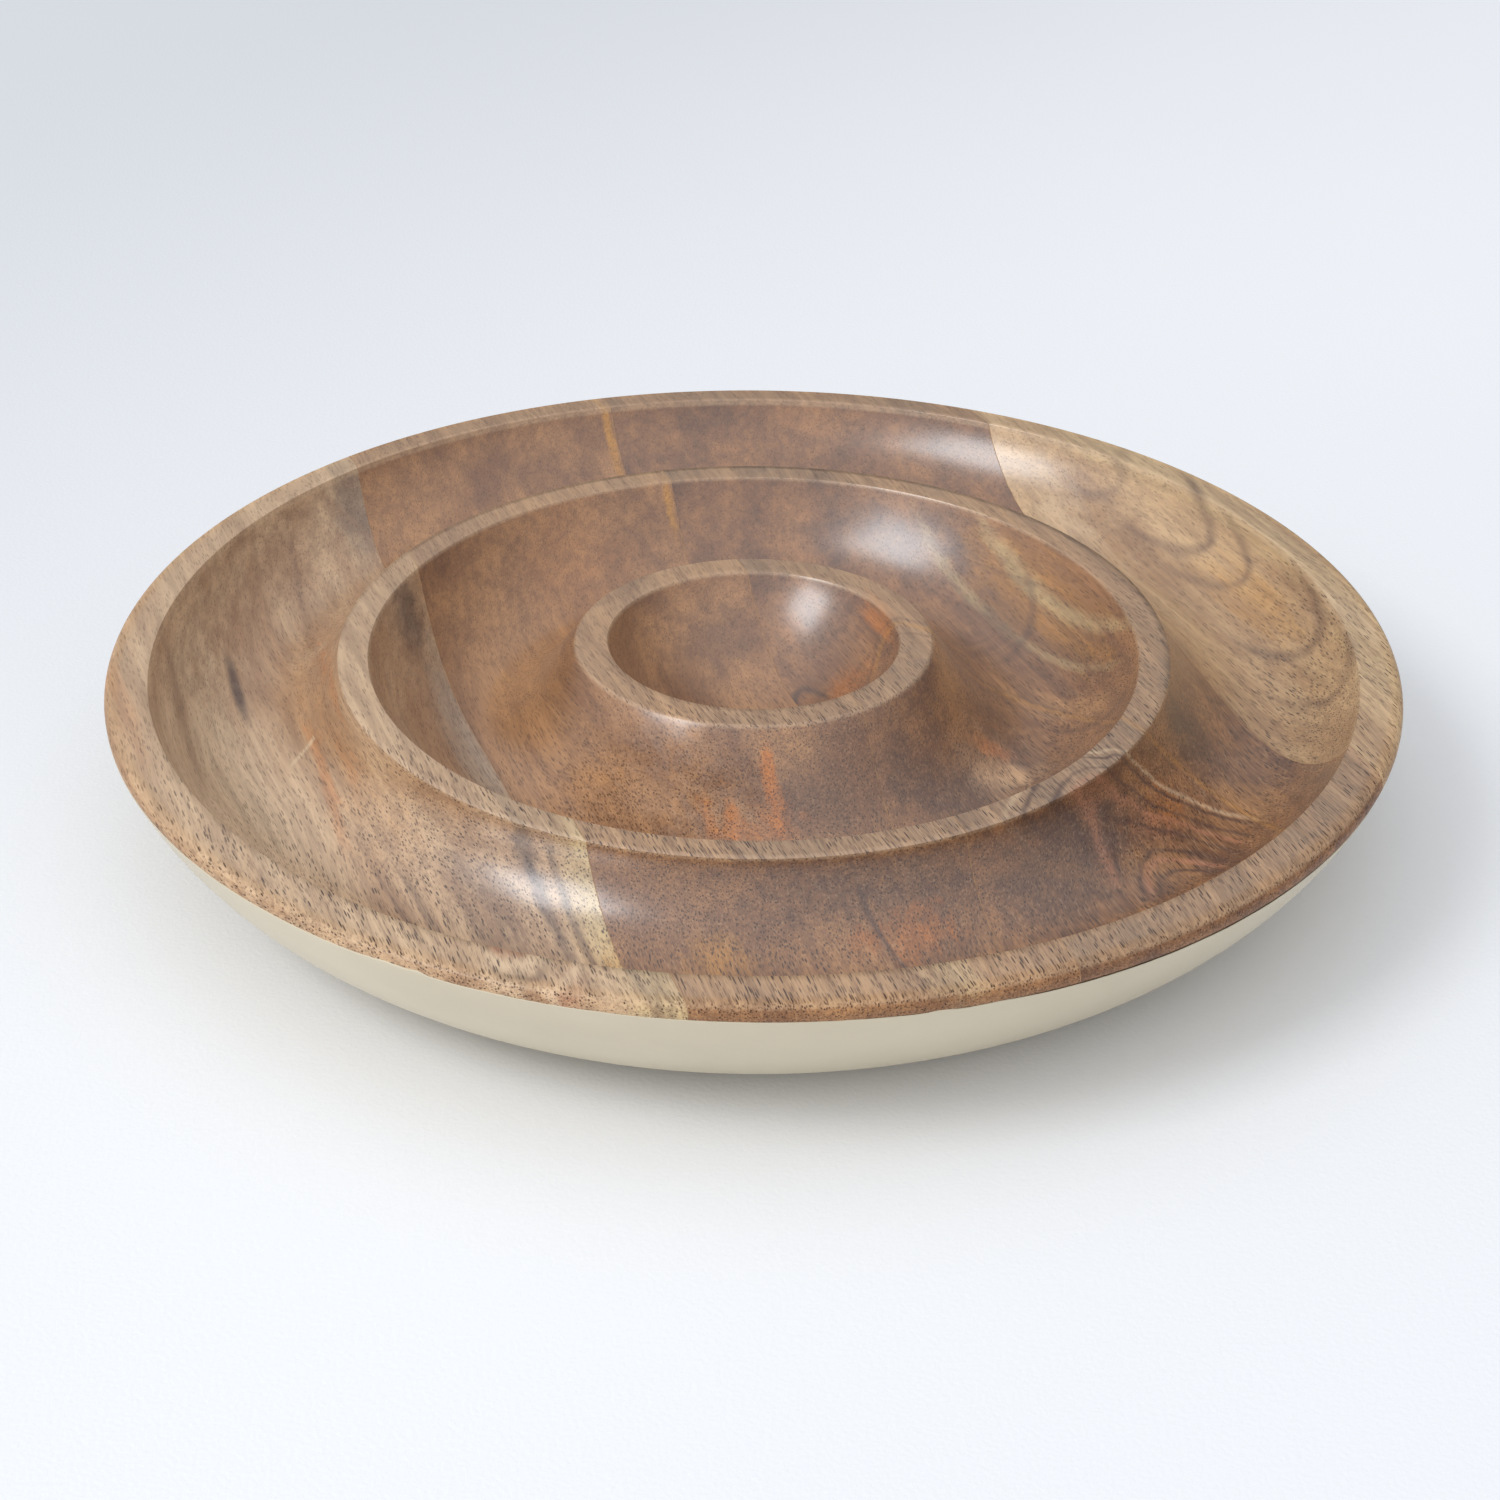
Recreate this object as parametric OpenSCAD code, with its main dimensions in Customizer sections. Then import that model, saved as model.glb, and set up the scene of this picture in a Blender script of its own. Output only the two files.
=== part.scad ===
// Chip and dip server: a round platter turned from one edge-glued hardwood panel.
// A deep well in the middle takes the dip, and two ring channels round it take the chips.
// The underside has one coat of enamel, up to a line just below the rim.
// Millimetres, Z up, origin at the middle of the flat face that it rests on.

/* [Overall size] */
// Diameter over the rounded outer edge
overall_d = 305; // [252:1:380]
// Height from the resting face to the highest edge of the rim
body_h = 42; // [34:0.5:60]
// Diameter of the flat resting face
base_d = 228; // [150:1:232]
// How far the belly swells past a straight line from the resting face to the rim
belly_swell = 5.4; // [1:0.1:9]

/* [Dip well] */
// Diameter of the well at its mouth
well_d = 70.2; // [50:0.2:86]
// Depth of the well
well_depth = 22; // [10:0.5:28]
// How bluff the well's wall is: low is steep and round, high is like a funnel
well_form = 0.85; // [0.5:0.05:1.6]
// Width of the flat top of the ring round the well
inner_ring_w = 7; // [4:0.2:12]

/* [Middle channel] */
// Width between the two inner rings
middle_channel_w = 49.6; // [36:0.2:60]
// Depth of the middle channel
middle_channel_depth = 22.5; // [8:0.5:28]
// Form of its wall on the side of the well
middle_in_form = 1.2; // [0.5:0.05:1.6]
// Form of its wall on the outer side
middle_out_form = 0.95; // [0.5:0.05:1.6]
// Width of the flat top of the ring between the channels
middle_ring_w = 7; // [4:0.2:12]

/* [Outer channel and rim] */
// Depth of the outer channel
outer_channel_depth = 17.8; // [6:0.2:24]
// Form of its wall on the inner side
outer_in_form = 0.68; // [0.5:0.05:1.6]
// Form of its wall under the rim
outer_out_form = 0.8; // [0.5:0.05:1.6]
// Width of the rim from the channel to the outer edge
rim_w = 10.2; // [7:0.2:16]
// Radius of the rounded outer edge
edge_r = 2.5; // [1.5:0.1:3]
// How far the rim's top falls from its inner edge to the rounded edge
rim_fall = 0.4; // [0:0.1:1.5]
// How much lower the two inner rings end than the rim
ring_drop = 0.7; // [0:0.1:4]

/* [Panel] */
// Angle of the boards round Z
board_angle = 21; // [0:1:45]
// Left glue line, measured across the boards from the middle
left_joint = -65.7; // [-90:0.1:-30]
// Middle glue line
middle_joint = 10.9; // [-15:0.1:35]
// Right glue line
right_joint = 105.9; // [60:0.1:110]
// Thickness of the glue in each joint
glue_t = 0.15; // [0.1:0.05:0.5]

/* [Enamel] */
// Thickness of the enamel
enamel_t = 0.4; // [0.2:0.05:1]
// Where the enamel ends on the rounded edge, in degrees below its widest line
enamel_angle = 30; // [0:1:50]

/* [Hidden] */
$fn = 180;
bend_steps = 18; // straight steps that a hollow's outline takes from edge to edge
arc_steps = 8; // straight steps of the rounded edge and of the belly curve
cut_margin = 5; // how far the cutting slabs reach past the platter

outer_r = overall_d / 2;
base_r = base_d / 2;
rim_in_r = outer_r - rim_w;
well_r = well_d / 2;
inner_ring_r = well_r + inner_ring_w;
middle_channel_r = inner_ring_r + middle_channel_w;
middle_ring_r = middle_channel_r + middle_ring_w;
ring_z = body_h - ring_drop;

// Centre of the rounded edge, and the point on it where the enamel starts
edge_c = [outer_r - edge_r, body_h - rim_fall - edge_r];
enamel_top = edge_c + edge_r * [cos(enamel_angle), -sin(enamel_angle)];

// Radius and centre of the belly arc, from the resting face's edge to the enamel's top edge
base_edge = [base_r, 0];
chord = enamel_top - base_edge;
half_chord = norm(chord) / 2;
chord_turn = [-chord.y, chord.x] / norm(chord);
belly_r = (pow(half_chord, 2) + pow(belly_swell, 2)) / (2 * belly_swell);
belly_c = (enamel_top + base_edge) / 2 + chord_turn * (belly_r - belly_swell);

// Point on a circle, and the angle at which a point lies from a centre
function on_circle(c, r, a) = c + r * [cos(a), sin(a)];
function bearing(c, p) = atan2(p.y - c.y, p.x - c.x);

// Arc from angle a to angle b, both ends included
function arc(c, r, a, b) = [for (i = [0:arc_steps]) on_circle(c, r, a + (b - a) * i / arc_steps)];

// Outline of a hollow between two radii, from the edge at u = -1 over its floor to the edge at u = 1
function hollow_z(u, depth, in_form, out_form) =
  -depth * pow(max(0, 1 - u * u), u < 0 ? in_form : out_form);
function hollow(r_in, r_out, top_in, top_out, depth, in_form, out_form) = [
  for (i = [0:bend_steps])
    let (u = -cos(180 * i / bend_steps), share = (1 + u) / 2)
      [
        r_in + (r_out - r_in) * share,
        top_in + (top_out - top_in) * share + hollow_z(u, depth, in_form, out_form)
      ]
];

// Half of the well's outline, from its lowest point on the axis out to its edge
function well() = [
  for (i = [0:bend_steps / 2])
    let (u = sin(180 * i / bend_steps))
      [well_r * u, ring_z + hollow_z(u, well_depth, well_form, well_form)]
];

// The turned top: well, rings, channels and rim, out to where the enamel starts
function top_line() = concat(
  well(),
  hollow(
    inner_ring_r, middle_channel_r, ring_z, ring_z,
    middle_channel_depth, middle_in_form, middle_out_form
  ),
  hollow(
    middle_ring_r, rim_in_r, ring_z, body_h,
    outer_channel_depth, outer_in_form, outer_out_form
  ),
  arc(edge_c, edge_r, 90, -enamel_angle)
);

// Point of the belly at height z, with a skin of the given thickness taken off
function belly_point(skin, z) =
  [belly_c.x + sqrt(pow(belly_r - skin, 2) - pow(belly_c.y - z, 2)), z];

// The belly with that skin taken off, from the rim's edge in to the enamel under the flat face
function belly_line(skin) =
  let (foot = belly_point(skin, enamel_t))
    arc(belly_c, belly_r - skin, bearing(belly_c, enamel_top), bearing(belly_c, foot));

// All the wood as one turned solid, before it is divided into boards
module turned_panel() {
  rotate_extrude()
    polygon(concat(top_line(), belly_line(enamel_t), [[0, enamel_t]]));
}

// Slab across the whole platter, between two distances across the boards
module slab(from, to) {
  reach = overall_d + 2 * cut_margin;
  rotate([0, 0, board_angle])
    translate([from, -reach / 2, -cut_margin])
      cube([to - from, reach, body_h + 2 * cut_margin]);
}

// One board of the panel, between two distances across the boards
module board(from, to) {
  intersection() {
    turned_panel();
    slab(from, to);
  }
}

// The film of glue in one joint
module glue_line(joint) {
  board(joint - glue_t / 2, joint + glue_t / 2);
}

module left_board() {
  color("#a98a72")
    board(-outer_r - cut_margin, left_joint - glue_t / 2);
}

module middle_left_board() {
  color("#966f57")
    board(left_joint + glue_t / 2, middle_joint - glue_t / 2);
}

module middle_right_board() {
  color("#83604a")
    board(middle_joint + glue_t / 2, right_joint - glue_t / 2);
}

module right_board() {
  color("#b3946f")
    board(right_joint + glue_t / 2, outer_r + cut_margin);
}

module left_glue_line() {
  color("#c9a25e")
    glue_line(left_joint);
}

module middle_glue_line() {
  color("#c9a25e")
    glue_line(middle_joint);
}

module right_glue_line() {
  color("#c9a25e")
    glue_line(right_joint);
}

// The enamel under the flat face, which the platter rests on
module enamel_base() {
  color("#cfc8b4")
    rotate_extrude()
      polygon([[0, 0], base_edge, belly_point(0, enamel_t), [0, enamel_t]]);
}

// The same coat where it goes on up the belly to the rounded edge
module enamel_belly() {
  inner = belly_line(enamel_t);
  color("#cfc8b4")
    rotate_extrude()
      polygon(concat(belly_line(0), [for (i = [arc_steps:-1:0]) inner[i]]));
}

left_board();
middle_left_board();
middle_right_board();
right_board();
left_glue_line();
middle_glue_line();
right_glue_line();
enamel_base();
enamel_belly();
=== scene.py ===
"""Chip and dip server: a round platter turned from four glued boards, with cream enamel underneath."""

import math

import bpy
from mathutils import Matrix, Vector


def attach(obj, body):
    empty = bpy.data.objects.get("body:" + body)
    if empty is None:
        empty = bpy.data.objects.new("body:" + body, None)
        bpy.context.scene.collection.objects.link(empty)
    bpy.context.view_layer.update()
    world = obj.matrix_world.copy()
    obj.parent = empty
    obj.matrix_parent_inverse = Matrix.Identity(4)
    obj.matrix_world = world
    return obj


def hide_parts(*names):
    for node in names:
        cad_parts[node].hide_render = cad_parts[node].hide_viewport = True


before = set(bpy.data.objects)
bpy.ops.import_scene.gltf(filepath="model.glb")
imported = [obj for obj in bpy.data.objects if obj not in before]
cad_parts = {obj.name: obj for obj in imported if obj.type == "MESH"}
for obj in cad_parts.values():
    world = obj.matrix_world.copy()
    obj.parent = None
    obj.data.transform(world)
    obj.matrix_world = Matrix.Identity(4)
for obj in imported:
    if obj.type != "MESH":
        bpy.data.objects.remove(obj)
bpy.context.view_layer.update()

MM = 0.001

# Sizes of the turned shape, in millimetres, as the design has them
OUTER_R = 152.5
BODY_H = 42.0
RING_Z = 41.3
WELL_R = 35.1
WELL_DEPTH = 22.0
WELL_FORMS = (0.85, 0.85)
INNER_RING_R = 42.1
MIDDLE_CHANNEL_R = 91.7
MIDDLE_CHANNEL_DEPTH = 22.5
MIDDLE_FORMS = (1.2, 0.95)
MIDDLE_RING_R = 98.7
RIM_IN_R = 142.3
OUTER_CHANNEL_DEPTH = 17.8
OUTER_FORMS = (0.68, 0.8)
BASE_R = 114.0
EDGE_R = 2.5
RIM_FALL = 0.4
BELLY_SWELL = 5.4
ENAMEL_T = 0.4
ENAMEL_ANGLE = 30.0
BOARD_ANGLE = 21.0
GLUE_T = 0.15
JOINTS = {"left": -65.7, "middle": 10.9, "right": 105.9}

# Thickness of the enamel's lip on the rounded edge, and how far it is let into the wood there
LIP_T = 0.13
LIP_BITE = 0.03
# How far the corners of the rings and the rim are eased
EASED = 0.5
# How far round and under its centre the wood's rounded edge goes on, in degrees
EDGE_WRAP = 50.0
# Height at which the enamel's ragged upper stretch starts, and that of the wood's belly below it
ENAMEL_LOW_Z = 35.8
WOOD_LOW_Z = 33.8
# How far the enamel's line wavers up and down
RAGGEDNESS = 0.3
# Width of the outer strip of the resting face, which keeps its corner's shading narrow
BASE_STRIP = 2.0
# Places where the enamel's line runs high or low: angle in degrees, half width and rise in mm
LINE_BUMPS = (
    (228.0, 70.0, 1.1),
    (306.0, 60.0, -0.7),
    (242.0, 5.0, 0.5),
    (244.5, 1.2, 0.5),
    (284.0, 1.6, 0.45),
    (288.5, 4.0, 0.3),
)
# Faces round the platter, in the wood and in the ragged enamel
WOOD_FACES = 540
ENAMEL_FACES = 1440
# Straight steps of each outline from end to end
WELL_STEPS = 60
MIDDLE_STEPS = 88
OUTER_STEPS = 80
EDGE_STEPS = 26
BELLY_STEPS = 12
BACKING_STEPS = 10
LIP_STEPS = 36
# Points across the flat top of a ring
RING_POINTS = 5
# Radius of the circle that an outline is swept round, in metres
SWEEP_R = 0.1
# Points this close are one point, and points this close to a joint lie on it, in metres
WELD = 3e-7
SLACK = 2e-6

EDGE_CENTRE = (OUTER_R - EDGE_R, BODY_H - RIM_FALL - EDGE_R)
ENAMEL_TOP = (
    EDGE_CENTRE[0] + EDGE_R * math.cos(math.radians(ENAMEL_ANGLE)),
    EDGE_CENTRE[1] - EDGE_R * math.sin(math.radians(ENAMEL_ANGLE)),
)


def belly_circle():
    """Centre and radius of the belly's arc, from the resting face's edge to the enamel's top."""
    run = ENAMEL_TOP[0] - BASE_R
    rise = ENAMEL_TOP[1]
    half = math.hypot(run, rise) / 2
    radius = (half**2 + BELLY_SWELL**2) / (2 * BELLY_SWELL)
    shift = (radius - BELLY_SWELL) / (2 * half)
    return (BASE_R + run / 2 - rise * shift, rise / 2 + run * shift), radius


BELLY_CENTRE, BELLY_R = belly_circle()


def belly_at(height, skin=0.0):
    """Radius of the belly at a height, with a skin of that thickness taken off."""
    return BELLY_CENTRE[0] + math.sqrt((BELLY_R - skin) ** 2 - (BELLY_CENTRE[1] - height) ** 2)


def backing_place(height):
    """Place on the belly under the enamel at a height: a radius and a height, in metres."""
    return belly_at(height, ENAMEL_T) * MM, height * MM


def rgb(red, green, blue):
    """A colour from its screen values, 0 to 255, as the linear values that a shader takes."""
    shares = [value / 255 for value in (red, green, blue)]
    lit = [v / 12.92 if v <= 0.04045 else ((v + 0.055) / 1.055) ** 2.4 for v in shares]
    return (*lit, 1.0)


# ---------------------------------------------------------------- node helpers


class Number:
    """A number that flows through a node tree. Arithmetic on it adds math nodes."""

    def __init__(self, maker, socket):
        self.maker = maker
        self.socket = socket

    def math(self, operation, *others):
        node = self.maker.node("ShaderNodeMath", operation=operation)
        for socket, value in zip(node.inputs, (self, *others)):
            self.maker.join(value, socket)
        return Number(self.maker, node.outputs[0])

    def __add__(self, other):
        return self.math("ADD", other)

    def __radd__(self, other):
        return self.math("ADD", other)

    def __sub__(self, other):
        return self.math("SUBTRACT", other)

    def __rsub__(self, other):
        return self.math("MULTIPLY_ADD", -1.0, other)

    def __mul__(self, other):
        return self.math("MULTIPLY", other)

    def __rmul__(self, other):
        return self.math("MULTIPLY", other)

    def __truediv__(self, other):
        return self.math("DIVIDE", other)

    def __pow__(self, other):
        return self.math("POWER", other)

    def smooth(self, low, high):
        """0 at low, 1 at high, and a soft step between them."""
        node = self.maker.node(
            "ShaderNodeMapRange",
            {"Value": self, "From Min": low, "From Max": high},
            interpolation_type="SMOOTHSTEP",
        )
        return Number(self.maker, node.outputs[0])


class Maker:
    """Makes the nodes of one tree and joins them."""

    def __init__(self, tree):
        self.tree = tree
        self.given = None

    def join(self, value, socket):
        """Links a number or a socket to a socket, or sets the socket to a plain value."""
        if isinstance(value, Number):
            value = value.socket
        if isinstance(value, bpy.types.NodeSocket):
            self.tree.links.new(value, socket)
        else:
            socket.default_value = value

    def node(self, kind, values=None, **settings):
        made = self.tree.nodes.new(kind)
        for name, value in settings.items():
            setattr(made, name, value)
        for name, value in (values or {}).items():
            self.join(value, made.inputs[name])
        return made

    def number(self, kind, values=None, output=0, **settings):
        return Number(self, self.node(kind, values, **settings).outputs[output])

    def input(self, name):
        """One of the tree's own named inputs."""
        if self.given is None:
            self.given = self.node("NodeGroupInput")
        return Number(self, self.given.outputs[name])

    def group(self, tree, values=None):
        """Places a node group, and hands out its results by name."""
        kind = "ShaderNodeGroup" if tree.type == "SHADER" else "GeometryNodeGroup"
        made = self.node(kind, node_tree=tree)
        for name, value in (values or {}).items():
            self.join(value, made.inputs[name])
        return {socket.name: Number(self, socket) for socket in made.outputs}

    def vector(self, x, y, z):
        return self.number("ShaderNodeCombineXYZ", {"X": x, "Y": y, "Z": z})

    def split(self, vector):
        made = self.node("ShaderNodeSeparateXYZ", {"Vector": vector})
        return [Number(self, socket) for socket in made.outputs]

    def vector_math(self, operation, *values):
        made = self.node("ShaderNodeVectorMath", operation=operation)
        for socket, value in zip(made.inputs, values):
            self.join(value, socket)
        result = "Value" if operation in ("LENGTH", "DOT_PRODUCT") else "Vector"
        return Number(self, made.outputs[result])

    def noise(self, place, rates, detail=2.0, roughness=0.5):
        """Soft noise from 0 to 1 at a place: its rates are how fast it varies along each axis."""
        values = {
            "Vector": self.vector_math("MULTIPLY", place, rates),
            "Scale": 1.0,
            "Detail": detail,
            "Roughness": roughness,
        }
        return self.number("ShaderNodeTexNoise", values)

    def mix(self, share, first, second, blend="MIX"):
        """Mixes two colours, by a share from 0 to 1."""
        made = self.node("ShaderNodeMix", data_type="RGBA", blend_type=blend)
        colours = [socket for socket in made.inputs if socket.type == "RGBA"]
        self.join(share, made.inputs[0])
        self.join(first, colours[0])
        self.join(second, colours[1])
        return Number(self, [socket for socket in made.outputs if socket.type == "RGBA"][0])

    def give(self, results):
        """Joins the tree's results to its outputs."""
        out = self.node("NodeGroupOutput")
        for name, value in results.items():
            self.join(value, out.inputs[name])


def socket_kind(value):
    """The kind of socket that holds a value: a mesh, whole number, number, material or vector."""
    if value is None:
        return "NodeSocketGeometry"
    if isinstance(value, int):
        return "NodeSocketInt"
    if isinstance(value, float):
        return "NodeSocketFloat"
    if isinstance(value, bpy.types.Material):
        return "NodeSocketMaterial"
    return "NodeSocketVector" if len(value) == 3 else "NodeSocketColor"


def new_tree(name, kind, inputs, outputs):
    """A node tree with named inputs and outputs, and the maker that fills it."""
    tree = bpy.data.node_groups.new(name, kind)
    for label, value in inputs.items():
        socket = tree.interface.new_socket(label, in_out="INPUT", socket_type=socket_kind(value))
        if value is not None:
            socket.default_value = value
    for label, value in outputs.items():
        tree.interface.new_socket(label, in_out="OUTPUT", socket_type=socket_kind(value))
    return tree, Maker(tree)


# ---------------------------------------------------------------- turned shapes


def hollow_outline():
    """Outline of a hollow between two radii, with its two corners eased."""
    sizes = {
        "Inner Radius": 0.0,
        "Outer Radius": 1.0,
        "Inner Height": 0.0,
        "Outer Height": 0.0,
        "Depth": 1.0,
        "Inner Form": 1.0,
        "Outer Form": 1.0,
        "Eased": 0.001,
        "Steps": WELL_STEPS,
    }
    tree, m = new_tree("hollow_outline", "GeometryNodeTree", sizes, {"Outline": None})
    inner = m.input("Inner Radius")
    inner_z = m.input("Inner Height")
    inner_form = m.input("Inner Form")
    depth = m.input("Depth")
    eased = m.input("Eased")
    turn = m.number("GeometryNodeInputIndex") / m.input("Steps") * math.pi
    u = turn.math("COSINE") * -1
    share = (u + 1) / 2
    form = inner_form + (m.input("Outer Form") - inner_form) * u.math("GREATER_THAN", 0.0)
    sunk = depth * (1 - u * u).math("MAXIMUM", 0.0) ** form
    soft = (sunk * sunk + eased * eased).math("SQRT") - eased
    deepest = (depth * depth + eased * eased).math("SQRT") - eased
    radius = inner + (m.input("Outer Radius") - inner) * share
    top = inner_z + (m.input("Outer Height") - inner_z) * share
    m.give({"Outline": outline_of(m, radius, top - soft * depth / deepest)})
    return tree


def arc_outline():
    """Outline of an arc round a centre, between two angles."""
    sizes = {
        "Centre Radius": 0.0,
        "Centre Height": 0.0,
        "Radius": 1.0,
        "From Angle": 0.0,
        "To Angle": 1.0,
        "Steps": BELLY_STEPS,
    }
    tree, m = new_tree("arc_outline", "GeometryNodeTree", sizes, {"Outline": None})
    start = m.input("From Angle")
    share = m.number("GeometryNodeInputIndex") / m.input("Steps")
    angle = start + (m.input("To Angle") - start) * share
    radius = m.input("Centre Radius") + m.input("Radius") * angle.math("COSINE")
    height = m.input("Centre Height") + m.input("Radius") * angle.math("SINE")
    m.give({"Outline": outline_of(m, radius, height)})
    return tree


def outline_of(m, radius, height, steps=None):
    """A chain of points, each at a radius and a height that follow from its index."""
    count = (steps or m.input("Steps")) + 1
    line = m.node("GeometryNodeMeshLine", {"Count": count})
    place = m.vector(radius, 0.0, height)
    return m.number("GeometryNodeSetPosition", {"Geometry": line.outputs[0], "Position": place})


def belly_outline(m, skin, start, end, steps):
    """The belly with a skin taken off, between two heights."""
    radius = BELLY_R - skin
    angles = [math.asin((height - BELLY_CENTRE[1]) / radius) for height in (start, end)]
    values = {
        "Centre Radius": BELLY_CENTRE[0] * MM,
        "Centre Height": BELLY_CENTRE[1] * MM,
        "Radius": radius * MM,
        "From Angle": angles[0],
        "To Angle": angles[1],
        "Steps": steps,
    }
    return m.group(arc_outline(), values)["Outline"]


def straight(m, start, end, count=2):
    """A straight chain between two places, each a radius and a height."""
    line = m.node("GeometryNodeMeshLine", {"Count": count}, mode="END_POINTS")
    m.join(m.vector(start[0], 0.0, start[1]), line.inputs["Start Location"])
    m.join(m.vector(end[0], 0.0, end[1]), line.inputs["Offset"])
    return line.outputs[0]


def turned(m, chains, faces):
    """Turns chains that meet end to end round the axis, into one closed solid."""
    joined = m.node("GeometryNodeJoinGeometry")
    for chain in reversed(chains):
        m.join(chain, joined.inputs[0])
    welded = m.node("GeometryNodeMergeByDistance", {"Geometry": joined.outputs[0], "Distance": WELD})
    outline = m.node("GeometryNodeMeshToCurve", {"Mesh": welded.outputs[0]})
    radius, _, height = m.split(m.node("GeometryNodeInputPosition").outputs[0])
    lying = m.vector(radius - SWEEP_R, height * -1, 0.0)
    flat = m.node("GeometryNodeSetPosition", {"Geometry": outline.outputs[0], "Position": lying})
    circle = m.node("GeometryNodeCurvePrimitiveCircle", {"Resolution": faces, "Radius": SWEEP_R})
    swept = m.node(
        "GeometryNodeCurveToMesh",
        {"Curve": circle.outputs[0], "Profile Curve": flat.outputs[0]},
    )
    return m.node("GeometryNodeMergeByDistance", {"Geometry": swept.outputs[0], "Distance": SLACK})


def finished(m, mesh, sharp):
    """Shades a solid smooth but for its sharp edges, and gives it its finish."""
    smooth = m.node("GeometryNodeSetShadeSmooth", {"Geometry": mesh, "Shade Smooth": True})
    crisp = m.node(
        "GeometryNodeSetShadeSmooth",
        {"Geometry": smooth.outputs[0], "Selection": sharp, "Shade Smooth": False},
        domain="EDGE",
    )
    real = m.node("GeometryNodeRealizeInstances", {"Geometry": crisp.outputs[0]})
    painted = m.node(
        "GeometryNodeSetMaterial", {"Geometry": real.outputs[0], "Material": m.input("Finish")}
    )
    return painted.outputs[0]


def board_tree(finish):
    """The whole platter turned in wood, cut down to what lies between two joints."""
    sizes = {
        "From Joint": -0.2,
        "To Joint": 0.2,
        "Board Angle": math.radians(BOARD_ANGLE),
        "Outer Radius": OUTER_R * MM,
        "Body Height": BODY_H * MM,
        "Ring Height": RING_Z * MM,
        "Well Radius": WELL_R * MM,
        "Well Depth": WELL_DEPTH * MM,
        "Inner Ring Radius": INNER_RING_R * MM,
        "Middle Channel Radius": MIDDLE_CHANNEL_R * MM,
        "Middle Channel Depth": MIDDLE_CHANNEL_DEPTH * MM,
        "Middle Ring Radius": MIDDLE_RING_R * MM,
        "Rim Inner Radius": RIM_IN_R * MM,
        "Outer Channel Depth": OUTER_CHANNEL_DEPTH * MM,
        "Edge Radius": (EDGE_R - LIP_T) * MM,
        "Edge Centre Radius": EDGE_CENTRE[0] * MM,
        "Edge Centre Height": EDGE_CENTRE[1] * MM,
        "Edge Wrap": math.radians(EDGE_WRAP),
        "Eased": EASED * MM,
        "Faces": WOOD_FACES,
        "Finish": finish,
    }
    tree, m = new_tree("turned_board", "GeometryNodeTree", sizes, {"Board": None})
    hollow_tree = hollow_outline()
    ring_z = m.input("Ring Height")

    def hollow(inner, outer, outer_z, depth, forms, steps):
        values = {
            "Inner Radius": inner,
            "Outer Radius": outer,
            "Inner Height": ring_z,
            "Outer Height": outer_z,
            "Depth": m.input(depth),
            "Inner Form": forms[0],
            "Outer Form": forms[1],
            "Eased": m.input("Eased"),
            "Steps": steps,
        }
        return m.group(hollow_tree, values)["Outline"]

    well_r = m.input("Well Radius")
    inner_ring_r = m.input("Inner Ring Radius")
    channel_r = m.input("Middle Channel Radius")
    middle_ring_r = m.input("Middle Ring Radius")
    rim_in_r = m.input("Rim Inner Radius")
    rim_z = m.input("Body Height")
    edge_r = m.input("Edge Radius")
    edge_x = m.input("Edge Centre Radius")
    edge_z = m.input("Edge Centre Height")
    wrap = m.input("Edge Wrap")
    whole_well = hollow(well_r * -1, well_r, ring_z, "Well Depth", WELL_FORMS, WELL_STEPS)
    past_axis = m.split(m.node("GeometryNodeInputPosition").outputs[0])[0].math("LESS_THAN", -SLACK)
    half_well = m.node("GeometryNodeDeleteGeometry", {"Geometry": whole_well, "Selection": past_axis})
    edge = {
        "Centre Radius": edge_x,
        "Centre Height": edge_z,
        "Radius": edge_r,
        "From Angle": math.pi / 2,
        "To Angle": wrap * -1,
        "Steps": EDGE_STEPS,
    }
    edge_end = (edge_x + edge_r * wrap.math("COSINE"), edge_z - edge_r * wrap.math("SINE"))
    foot = backing_place(ENAMEL_T)
    chains = [
        half_well.outputs[0],
        straight(m, (well_r, ring_z), (inner_ring_r, ring_z), RING_POINTS),
        hollow(inner_ring_r, channel_r, ring_z, "Middle Channel Depth", MIDDLE_FORMS, MIDDLE_STEPS),
        straight(m, (channel_r, ring_z), (middle_ring_r, ring_z), RING_POINTS),
        hollow(middle_ring_r, rim_in_r, rim_z, "Outer Channel Depth", OUTER_FORMS, OUTER_STEPS),
        straight(m, (rim_in_r, rim_z), (edge_x, edge_z + edge_r), RING_POINTS),
        m.group(arc_outline(), edge)["Outline"],
        straight(m, edge_end, backing_place(WOOD_LOW_Z)),
        belly_outline(m, ENAMEL_T, WOOD_LOW_Z, ENAMEL_T, BACKING_STEPS),
        straight(m, foot, (0.0, foot[1])),
    ]
    platter = turned(m, chains, m.input("Faces"))

    from_joint = m.input("From Joint")
    to_joint = m.input("To Joint")
    angle = m.input("Board Angle")
    reach = m.input("Outer Radius") * 3
    middle = (from_joint + to_joint) / 2
    slab = m.node("GeometryNodeMeshCube", {"Size": m.vector(to_joint - from_joint, reach, reach)})
    values = {
        "Geometry": slab.outputs[0],
        "Translation": m.vector(middle * angle.math("COSINE"), middle * angle.math("SINE"), 0.0),
        "Rotation": m.vector(0.0, 0.0, angle),
    }
    placed = m.node("GeometryNodeTransform", values)
    cut = m.node("GeometryNodeMeshBoolean", operation="INTERSECT", solver="MANIFOLD")
    m.join(placed.outputs[0], cut.inputs["Mesh 2"])
    m.join(platter.outputs[0], cut.inputs["Mesh 2"])

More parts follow.
